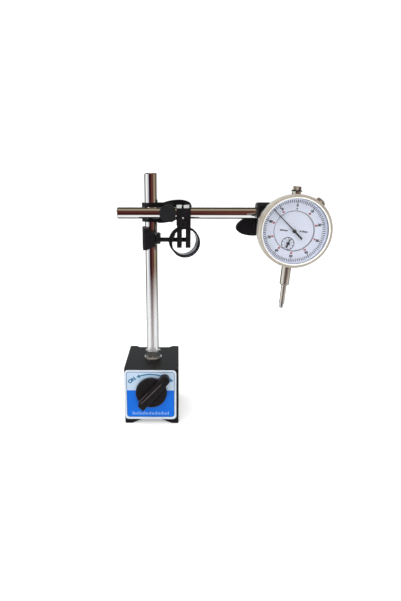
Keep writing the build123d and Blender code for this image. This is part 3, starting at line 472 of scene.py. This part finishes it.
def words(bm, text, size, centre, low, high, mat=0, turn=0.0, bold=0.0):
    """Lettering as thin solid letters, centred on a point; bold widens every stroke."""
    curve = bpy.data.curves.new("lettering", "FONT")
    curve.body, curve.size = text, size
    curve.align_x, curve.align_y = "CENTER", "CENTER"
    curve.extrude = (high - low) / 2
    curve.offset = bold
    curve.resolution_u = 4
    writer = bpy.data.objects.new("lettering", curve)
    letters = bpy.data.meshes.new_from_object(writer)
    letters.transform(Matrix.Translation((*centre, (low + high) / 2))
                      @ Matrix.Rotation(math.radians(turn), 4, "Z"))
    first = len(bm.faces)
    bm.from_mesh(letters)
    bm.faces.ensure_lookup_table()
    for face in bm.faces[first:]:
        face.material_index = mat
    bpy.data.objects.remove(writer)
    bpy.data.meshes.remove(letters)
    bpy.data.curves.remove(curve)


def bar(bm, a, b, half, low, high, mat=0, half_end=None):
    """A flat bar from a to b."""
    a, b = Vector(a), Vector(b)
    along = (b - a).normalized()
    side = Vector((-along.y, along.x))
    end = half if half_end is None else half_end
    corners = [a - side * half, b - side * end, b + side * end, a + side * half]
    prism(bm, [(p.x, p.y) for p in corners], low, high, mat)


def piece(name, body, materials, place, build, stands_for=(), smooth=32):
    """Builds a mesh in local millimetres, places it and fixes it to its body."""
    bm = bmesh.new()
    build(bm)
    bmesh.ops.remove_doubles(bm, verts=bm.verts, dist=1e-4)
    bmesh.ops.dissolve_degenerate(bm, edges=bm.edges, dist=1e-5)
    bmesh.ops.recalc_face_normals(bm, faces=bm.faces)
    bm.transform(place)
    mesh = bpy.data.meshes.new(name)
    bm.to_mesh(mesh)
    bm.free()
    for material in materials:
        mesh.materials.append(material)
    mesh.shade_smooth()
    mesh.set_sharp_from_angle(angle=math.radians(smooth))
    made = bpy.data.objects.new(name, mesh)
    scene.collection.objects.link(made)
    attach(made, body)
    if stands_for:
        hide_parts(*stands_for)


# ---------------------------------------------------------------- label on the base
SWITCH_HOLE = 6.2
FIELD_LOW, FIELD_HIGH, FIELD_SPLIT = 7.3, 52.3, 34.3
FIELD_WIDTH, FIELD_CORNER, LINE = 44.0, 2.4, 0.5
PRINT = 0.03                           # how proud the printed layers stand
ARC_CENTRE, ARC_RADIUS, ARC_WIDTH = (0.3, 17.4), 32.9, 1.2
ARC_START, ARC_END = 109.0, 72.0       # degrees round from the right
ARC_STEPS, STEP_OVERLAP = 18, 0.02
ARROW_HALF, ARROW_SWEEP, ARROW_TIP = 1.8, 4.8, 0.05
WORD_SIZE, WORD_BOLD, WORD_TURN = 4.8, 0.3, 37
ON_PLACE, OFF_PLACE = (-17.2, 44.4), (16.4, 45.4)
ROW_COUNT, ROW_STEP, ROW_HALF, ROW_FOOT = 25, 1.4, 0.27, 9.3
ROW_TOP, ROW_LONG_TOP, ROW_LONG_EVERY = 11.5, 12.6, 4
switch_height = joint("switch_turn")["pos_m"][2] / MM


def on_arc(angle):
    t = math.radians(angle)
    return (ARC_CENTRE[0] + ARC_RADIUS * math.cos(t), ARC_CENTRE[1] + ARC_RADIUS * math.sin(t))


def label_print(bm):
    whole = rounded(FIELD_WIDTH, FIELD_LOW, FIELD_HIGH, FIELD_CORNER)
    half = FIELD_WIDTH / 2
    split_hole = math.degrees(math.asin((FIELD_SPLIT - switch_height) / SWITCH_HOLE))
    hole_half = SWITCH_HOLE * math.cos(math.radians(split_hole))
    switch = (0, switch_height)
    over = circle(SWITCH_HOLE, 24, switch, split_hole, 180 - 2 * split_hole)
    over.append((-hole_half, FIELD_SPLIT))
    under = circle(SWITCH_HOLE, 24, switch, 180 - split_hole, 180 + 2 * split_hole)
    under.append((hole_half, FIELD_SPLIT))
    sky = [p for p in whole if p[1] > FIELD_SPLIT]
    sky += [(-half, FIELD_SPLIT)] + over[::-1] + [(half, FIELD_SPLIT)]
    sea = [(-half, FIELD_SPLIT)] + [p for p in whole if p[1] < FIELD_SPLIT]
    sea += [(half, FIELD_SPLIT)] + under[::-1]
    sheet(bm, [sky], 0, PRINT, 0)
    sheet(bm, [sea], 0, PRINT, 1)
    line = rounded(FIELD_WIDTH + 2 * LINE, FIELD_LOW - LINE, FIELD_HIGH + LINE,
                   FIELD_CORNER + LINE)
    sheet(bm, [line, whole], 0, PRINT, 2)
    # arc arrow between the two switch positions
    for i in range(ARC_STEPS):
        a, b = (ARC_START + (ARC_END - ARC_START) * k / ARC_STEPS
                for k in (i, i + 1 + STEP_OVERLAP))
        bar(bm, on_arc(a), on_arc(b), ARC_WIDTH / 2, PRINT, 2 * PRINT, 3)
    for angle, sense in ((ARC_START, 1), (ARC_END, -1)):
        bar(bm, on_arc(angle - sense), on_arc(angle + sense * ARROW_SWEEP), ARROW_HALF,
            PRINT, 2 * PRINT, 3, half_end=ARROW_TIP)
    for text, middle, turn in (("ON", ON_PLACE, WORD_TURN), ("OFF", OFF_PLACE, -WORD_TURN)):
        words(bm, text, WORD_SIZE, middle, PRINT, 2 * PRINT, 3, turn=turn, bold=WORD_BOLD)
    # a plain graduated row under the knob
    for i in range(ROW_COUNT):
        x = ROW_STEP * (i - (ROW_COUNT - 1) / 2)
        top = ROW_TOP if i % ROW_LONG_EVERY else ROW_LONG_TOP
        bar(bm, (x, ROW_FOOT), (x, top), ROW_HALF, PRINT, 2 * PRINT, 4)


PALE_TICKS = finish("pale_ticks", (0.36, 0.56, 0.82), rough=(0.35, 0.45), bump=0.05)
piece("label_print", "base",
      [SKY_PRINT, BLUE_PRINT, LINE_PRINT, TEAL_PRINT, PALE_TICKS],
      label_frame(), label_print)


# ---------------------------------------------------------------- dial artwork
SCALE_FACE, INNER_FACE = 8.6, 7.7      # heights of the printed faces in the gauge frame
TICK_OUT, DIVISIONS = 24.75, 100
TENTH_IN, FIFTH_IN, TICK_IN = 21.9, 22.2, 22.5
TENTH_HALF, TICK_HALF = 0.32, 0.25
BLACK_SIZE, BLACK_R, BLACK_BOLD = 2.7, 20.3, 0.17
RED_SIZE, RED_R, RED_BOLD = 1.9, 17.7, 0.13
GREY_OUT, GREY_IN = 16.3, 15.95        # the thin grey ring inside the numbers, painted shade along the step down to the inner dial
UNIT_SIZE, UNIT_BOLD = 1.9, 0.12
COUNTER_OUT, COUNTER_IN = 5.25, 4.75   # the counter's ring, its ticks and its numbers
COUNTER_TICK_IN, COUNTER_TICK_OUT, COUNTER_TICK_HALF = 3.9, 4.9, 0.25
COUNTER_SIZE, COUNTER_R = 1.15, 3.0
LAYER = 0.03


def polar(radius, share):
    """A point at a share of a clockwise turn from the top of the dial."""
    t = math.pi / 2 - 2 * math.pi * share
    return radius * math.cos(t), radius * math.sin(t)


def scale_print(bm):
    for i in range(DIVISIONS):
        inner = TENTH_IN if i % 10 == 0 else FIFTH_IN if i % 5 == 0 else TICK_IN
        half = TENTH_HALF if i % 10 == 0 else TICK_HALF
        bar(bm, polar(inner, i / DIVISIONS), polar(TICK_OUT, i / DIVISIONS), half, 0, LAYER)
    for i in range(10):
        words(bm, str(10 * i), BLACK_SIZE, polar(BLACK_R, i / 10), 0, LAYER, bold=BLACK_BOLD)
        words(bm, str((100 - 10 * i) % 100), RED_SIZE, polar(RED_R, i / 10), 0, LAYER,
              0 if i == 0 else 1, bold=RED_BOLD)
    sheet(bm, [circle(GREY_OUT), circle(GREY_IN)], 0, LAYER, 2)


piece("scale_print", "bezel", [INK, RED_INK, STEP_EDGE_SHADE],
      gauge_frame(SCALE_FACE), scale_print)

counter_centre = gauge_frame(INNER_FACE).inverted() @ Vector(joint("counter_turn")["pos_m"])


def inner_print(bm):
    for text, middle in (("0.01mm", (-8.1, 0.1)), ("0-10mm", (7.8, 0.1))):
        words(bm, text, UNIT_SIZE, middle, 0, LAYER, bold=UNIT_BOLD)
    cx, cy = counter_centre.x, counter_centre.y
    sheet(bm, [circle(r, 72, (cx, cy)) for r in (COUNTER_OUT, COUNTER_IN)], 0, LAYER)
    for i in range(10):
        foot, tip, number = ((cx + x, cy + y) for x, y in (
            polar(r, i / 10) for r in (COUNTER_TICK_IN, COUNTER_TICK_OUT, COUNTER_R)))
        bar(bm, foot, tip, COUNTER_TICK_HALF, 0, LAYER)
        words(bm, str(i), COUNTER_SIZE, number, 0, LAYER)


piece("inner_print", "gauge", [INK], gauge_frame(INNER_FACE), inner_print)


# ---------------------------------------------------------------- knurled parts
CAP_R, CAP_BORE, CAP_LOW, CAP_HIGH = 3.4, 1.5, 31.2, 35.0
CAP_KNURL, CAP_TEETH = 0.22, 32


def lifting_cap(bm):
    turned(bm, [(CAP_BORE, CAP_LOW), (3.15, CAP_LOW), (CAP_R, 31.45), (CAP_R, 31.7),
                (CAP_R, 31.75), (CAP_R, 34.3), (CAP_R, 34.35), (3.2, 34.7), (2.9, CAP_HIGH),
                (2.2, CAP_HIGH), (1.9, 34.75), (0.0, 34.7), (0.0, 34.0), (CAP_BORE, 34.0)],
           2 * CAP_TEETH, ripple=((4, 5), CAP_KNURL))


piece("knurled_cap", "plunger", [NICKEL], spindle_frame(), lifting_cap,
      ["lifting_cap"], smooth=25)

lock_axis = Vector(joint("bezel_lock_turn")["axis"]).normalized()
lock_reach = reach("bezel_clamp_screw", lock_axis)
lock_low = -reach("bezel_clamp_screw", -lock_axis)
LOCK_HEAD_R, LOCK_HEAD, LOCK_SHANK_R = 4.2, 5.2, 1.5
LOCK_EDGE, LOCK_DISH_R, LOCK_DISH = 0.5, 2.6, 0.3
LOCK_KNURL, LOCK_TEETH = 0.3, 30


def lock_screw(bm):
    shank = (lock_low - lock_reach) / MM
    turned(bm, [(0, shank), (LOCK_SHANK_R, shank), (LOCK_SHANK_R, -LOCK_HEAD),
                (LOCK_HEAD_R - LOCK_EDGE, -LOCK_HEAD), (LOCK_HEAD_R, -LOCK_HEAD + LOCK_EDGE),
                (LOCK_HEAD_R, -LOCK_HEAD + 0.9), (LOCK_HEAD_R, -LOCK_HEAD + 1.0),
                (LOCK_HEAD_R, -1.0), (LOCK_HEAD_R, -0.9), (LOCK_HEAD_R, -LOCK_EDGE),
                (LOCK_HEAD_R - LOCK_EDGE, 0), (LOCK_DISH_R, 0),
                (LOCK_DISH_R - LOCK_DISH, -LOCK_DISH), (0, -LOCK_DISH)],
           2 * LOCK_TEETH, ripple=((6, 7), LOCK_KNURL))


lock_foot = gauge_frame().translation
lock_foot += lock_axis * (lock_reach - lock_foot.dot(lock_axis))
piece("knurled_lock_screw", "bezel_lock", [NICKEL],
      placed(lock_foot, -Y, lock_axis.cross(-Y)), lock_screw, ["bezel_clamp_screw"], smooth=25)

RING_IN, RING_OUT, RING_HALF = 12.0, 13.1, 6.25
RIM_DEEP, RIM_PROUD, RIM_INSIDE = 0.5, 0.12, 0.1


def ring_rim(bm):
    """Black bands proud of the rims at the ends of the spring ring."""
    inner, outer = RING_IN - RIM_INSIDE, RING_OUT + RIM_PROUD
    for sense in (1, -1):
        deep = sense * (RING_HALF - RIM_DEEP)
        proud = sense * (RING_HALF + RIM_PROUD)
        turned(bm, [(inner, deep), (inner, proud), (outer, proud), (outer, deep)], 96)


on_axis = [f.center + f.normal * RING_IN * MM for f in ring_faces]
ring_middle = sum(on_axis, Vector()) / len(on_axis)
ring_side = ring_axis.cross(Z).normalized()
piece("spring_ring_rims", "tilt_head", [CLAMP],
      placed(ring_middle, ring_side, ring_axis.cross(ring_side)), ring_rim)


def closing_spring():
    """The return spring's coils as an object of their own on the gauge, in place of the part."""
    coil = bpy.data.objects.new("return_spring_coil", nodes["return_spring"].data.copy())
    scene.collection.objects.link(coil)
    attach(coil, "gauge")
    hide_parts("return_spring")
    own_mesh(coil)


closing_spring()


# ---------------------------------------------------------------- fork's painted highlights
EDGE_ROUND, EDGE_FLAT = 2.0, 0.7       # the fork's top front edge, and how far down the painted highlight reaches
HIGHLIGHT_SPANS = ((-6.1, -1.7), (0.1, 4.8))
HIGHLIGHT_STEPS, HIGHLIGHT_STEP_TURN = 6, 14     # the patches follow the round this far, in degrees
HIGHLIGHT_SUNK, HIGHLIGHT_PROUD = -0.1, 0.05
GLINT_PLACE, GLINT_R, GLINT_PROUD = (-0.5, -11.1), 0.75, 0.08


def bare_patches(bm):
    """Two pale steel patches on the rounded top front edge, painted highlights where it catches
    the light, and a small bright disc, a painted glint.
    """
    path = [(-EDGE_ROUND - EDGE_FLAT, 0.0, 0.0)]
    for step in range(HIGHLIGHT_STEPS):
        t = math.radians(HIGHLIGHT_STEP_TURN * step)
        path.append((EDGE_ROUND * (math.sin(t) - 1), EDGE_ROUND * (math.cos(t) - 1), t))
    for left, right in HIGHLIGHT_SPANS:
        rings = []
        for up, out, t in path:
            low, high = ((up + skin * math.sin(t), out + skin * math.cos(t))
                         for skin in (HIGHLIGHT_SUNK, HIGHLIGHT_PROUD))
            rings.append([(left, *low), (right, *low), (right, *high), (left, *high)])
        loft(bm, rings)
    prism(bm, circle(GLINT_R, 20, GLINT_PLACE), HIGHLIGHT_SUNK, GLINT_PROUD)


fork_low, fork_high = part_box("fork_strap")
fork_edge = Vector(((fork_low.x + fork_high.x) / 2, fork_low.y, fork_high.z))
piece("fork_painted_highlights", "tilt_head", [FORK_HIGHLIGHT_STEEL],
      placed(fork_edge, X, Z), bare_patches)


# ---------------------------------------------------------------- switch knob's ridges
KNOB_ANGLE = 47.0                      # of the knob's bar above the base's right, in degrees
# each ridge's two ends, half width and height above the bar's face
RIDGES = (((-12.6, 0.9), (14.6, 0.6), 0.17, 0.07), ((-12.0, 3.6), (-1.0, 3.9), 0.09, 0.05))
RIDGE_SUNK = -0.05


def knob_ridges(bm):
    """Moulded ridge lines along the bar, coloured pale so that they show as bright threads: a
    painted highlight.
    """
    for foot, tip, half, height in RIDGES:
        bar(bm, foot, tip, half, RIDGE_SUNK, height)


bar_along = (base_right * math.cos(math.radians(KNOB_ANGLE))
             + Z * math.sin(math.radians(KNOB_ANGLE)))
knob_front = base_out * reach("switch_knob", base_out) + Z * switch_height * MM
piece("knob_ridges", "magnet_switch", [KNOB_RIDGE_HIGHLIGHT],
      placed(knob_front, bar_along, base_out.cross(bar_along)), knob_ridges)

# ---------------------------------------------------------------- stage, light and camera
FLOOR_HALF, FLOOR_STEPS, FLOOR_GLOW = 6.0, 12, 0.32
scene.view_settings.view_transform = "Standard"


def floor_material():
    material = finish("pale_floor", (0.82, 0.82, 0.82), (0.80, 0.80, 0.80),
                      rough=(0.6, 0.7), tone=3, grain=40, bump=0.02, gloss=0.1)
    shader = material.node_tree.nodes["Principled BSDF"]
    shader.inputs["Emission Color"].default_value = (1, 1, 1, 1)
    shader.inputs["Emission Strength"].default_value = FLOOR_GLOW
    return material


def lay_floor():
    """A square floor that the rods don't mirror."""
    bm = bmesh.new()
    bmesh.ops.create_grid(bm, x_segments=FLOOR_STEPS, y_segments=FLOOR_STEPS, size=FLOOR_HALF)
    mesh = bpy.data.meshes.new("floor")
    bm.to_mesh(mesh)
    bm.free()
    mesh.materials.append(floor_material())
    floor_object = bpy.data.objects.new("floor", mesh)
    floor_object.visible_glossy = False
    scene.collection.objects.link(floor_object)


lay_floor()


def ramp(tree, value, stops):
    node = tree.nodes.new("ShaderNodeValToRGB")
    tree.links.new(value, node.inputs["Fac"])
    while len(node.color_ramp.elements) > 1:
        node.color_ramp.elements.remove(node.color_ramp.elements[-1])
    for i, (position, colour) in enumerate(stops):
        element = (node.color_ramp.elements[0] if i == 0
                   else node.color_ramp.elements.new(position))
        element.position, element.color = position, (*colour, 1)
    return node.outputs["Color"]


def angle_share(tree, rise, run):
    """atan2(rise, run) as a share of a turn from -180 to 180 degrees."""
    angle = tree.nodes.new("ShaderNodeMath")
    angle.operation = "ARCTAN2"
    tree.links.new(rise, angle.inputs[0])
    tree.links.new(run, angle.inputs[1])
    return spread(tree, angle.outputs[0], 0, 1, -math.pi, math.pi)


def room():
    """The surroundings that the polished rods mirror; the camera itself sees plain white."""
    world = bpy.data.worlds.new("room")
    scene.world = world
    world.use_nodes = True
    tree = world.node_tree
    direction = tree.nodes.new("ShaderNodeTexCoord").outputs["Generated"]
    parts = tree.nodes.new("ShaderNodeSeparateXYZ")
    tree.links.new(direction, parts.inputs["Vector"])
    front = tree.nodes.new("ShaderNodeMath")
    front.operation = "MULTIPLY"
    front.inputs[1].default_value = -1
    tree.links.new(parts.outputs["Y"], front.inputs[0])

    def at(degrees):
        return (degrees + 180) / 360

    white, pearl, wine = (1.0, 1.0, 0.98), (0.55, 0.56, 0.60), (0.035, 0.006, 0.01)
    brown, olive, moss = (0.12, 0.040, 0.03), (0.23, 0.17, 0.10), (0.02, 0.02, 0.012)
    mist, night, tan = (0.60, 0.63, 0.65), (0.006, 0.012, 0.014), (0.42, 0.35, 0.26)
    level = ramp(tree, angle_share(tree, parts.outputs["X"], front.outputs[0]), [
        (0, mist), (at(-154), mist), (at(-147), moss), (at(-113), moss), (at(-106), white),
        (at(-64), white), (at(-54), pearl), (at(-37), pearl), (at(-32), night),
        (at(-24), wine), (at(0), wine), (at(6), brown), (at(38), brown), (at(46), olive),
        (at(66), tan), (at(72), olive), (at(92), olive), (at(99), moss), (at(115), moss),
        (at(122), white), (1, white)])
    upright = ramp(tree, angle_share(tree, parts.outputs["Z"], front.outputs[0]), [
        (0, white), (at(-164), white), (at(-156), night), (at(-104), night), (at(-97), white),
        (at(-46), white), (at(-38), wine), (at(-20), brown), (at(40), brown), (at(46), moss),
        (at(50), olive), (at(64), tan), (at(80), tan), (at(94), olive), (at(101), moss),
        (at(146), moss), (at(153), mist), (at(172), mist), (at(177), white), (1, white)])
    below = ramp(tree, angle_share(tree, parts.outputs["X"], front.outputs[0]), [
        (0, mist), (at(-142), mist), (at(-134), night), (at(-118), night), (at(-110), mist),
        (at(-60), white), (at(-20), mist), (at(30), mist), (at(60), white), (at(100), mist),
        (at(112), night), (at(126), night), (at(134), mist), (1, mist)])
    overhead = spread(tree, parts.outputs["Z"], 0, 1, 0.12, 0.22)
    beneath = spread(tree, parts.outputs["Z"], 1, 0, -0.31, -0.18)
    sideways = tree.nodes.new("ShaderNodeMath")
    sideways.operation = "ABSOLUTE"
    tree.links.new(parts.outputs["X"], sideways.inputs[0])
    along_arm = spread(tree, sideways.outputs[0], 1, 0, 0.3, 0.45)
    low_side = blend_colours(tree, along_arm, below, upright)
    surround = blend_colours(tree, overhead, level, upright)
    surround = blend_colours(tree, beneath, surround, low_side)
    background = tree.nodes["Background"]
    tree.links.new(surround, background.inputs["Color"])
    background.inputs["Strength"].default_value = 1.0
    path = tree.nodes.new("ShaderNodeLightPath")
    shown = background.outputs[0]
    for ray, strength in (("Is Diffuse Ray", 0.62), ("Is Camera Ray", 1.05)):
        plain = tree.nodes.new("ShaderNodeBackground")
        plain.inputs["Color"].default_value = (1, 1, 1, 1)
        plain.inputs["Strength"].default_value = strength
        pick = tree.nodes.new("ShaderNodeMixShader")
        tree.links.new(path.outputs[ray], pick.inputs["Fac"])
        tree.links.new(shown, pick.inputs[1])
        tree.links.new(plain.outputs[0], pick.inputs[2])
        shown = pick.outputs[0]
    tree.links.new(shown, tree.nodes["World Output"].inputs["Surface"])


room()


def lamp(name, kind, towards, place=(0, 0, 0), energy=1.0, glossy=False, **values):
    light = bpy.data.lights.new(name, kind)
    light.energy = energy
    for key, value in values.items():
        setattr(light, key, value)
    made = bpy.data.objects.new(name, light)
    made.location = place
    made.rotation_mode = "QUATERNION"
    made.rotation_quaternion = Vector(towards).to_track_quat("-Z", "Y")
    made.visible_glossy = glossy
    scene.collection.objects.link(made)


lamp("sky_sun", "SUN", (0.12, 0.2, -1.0), energy=2.3, angle=math.radians(70))
lamp("front_fill", "SUN", (-0.25, 1.0, -0.25), energy=0.35, angle=math.radians(40))
lamp("key_box", "AREA", (0.8, 0.75, -0.55), (-0.75, -0.65, 0.7), energy=1.5, glossy=True,
     shape="RECTANGLE", size=0.35, size_y=0.5)

CAMERA_PLACE = (0.03282, -0.38720, 0.21750)
YAW, PITCH = -0.03096, 0.22938         # radians to the right and downwards
forward = Vector((math.sin(YAW) * math.cos(PITCH), math.cos(YAW) * math.cos(PITCH),
                  -math.sin(PITCH)))
camera_data = bpy.data.cameras.new("camera")
camera_data.lens = 24.958
camera_data.sensor_width = 36
camera_data.shift_x, camera_data.shift_y = 0.0441, -0.0233
camera_data.clip_start, camera_data.clip_end = 0.01, 50
camera = bpy.data.objects.new("camera", camera_data)
camera.location = CAMERA_PLACE
camera.rotation_mode = "QUATERNION"
camera.rotation_quaternion = forward.to_track_quat("-Z", "Y")
scene.collection.objects.link(camera)
scene.camera = camera
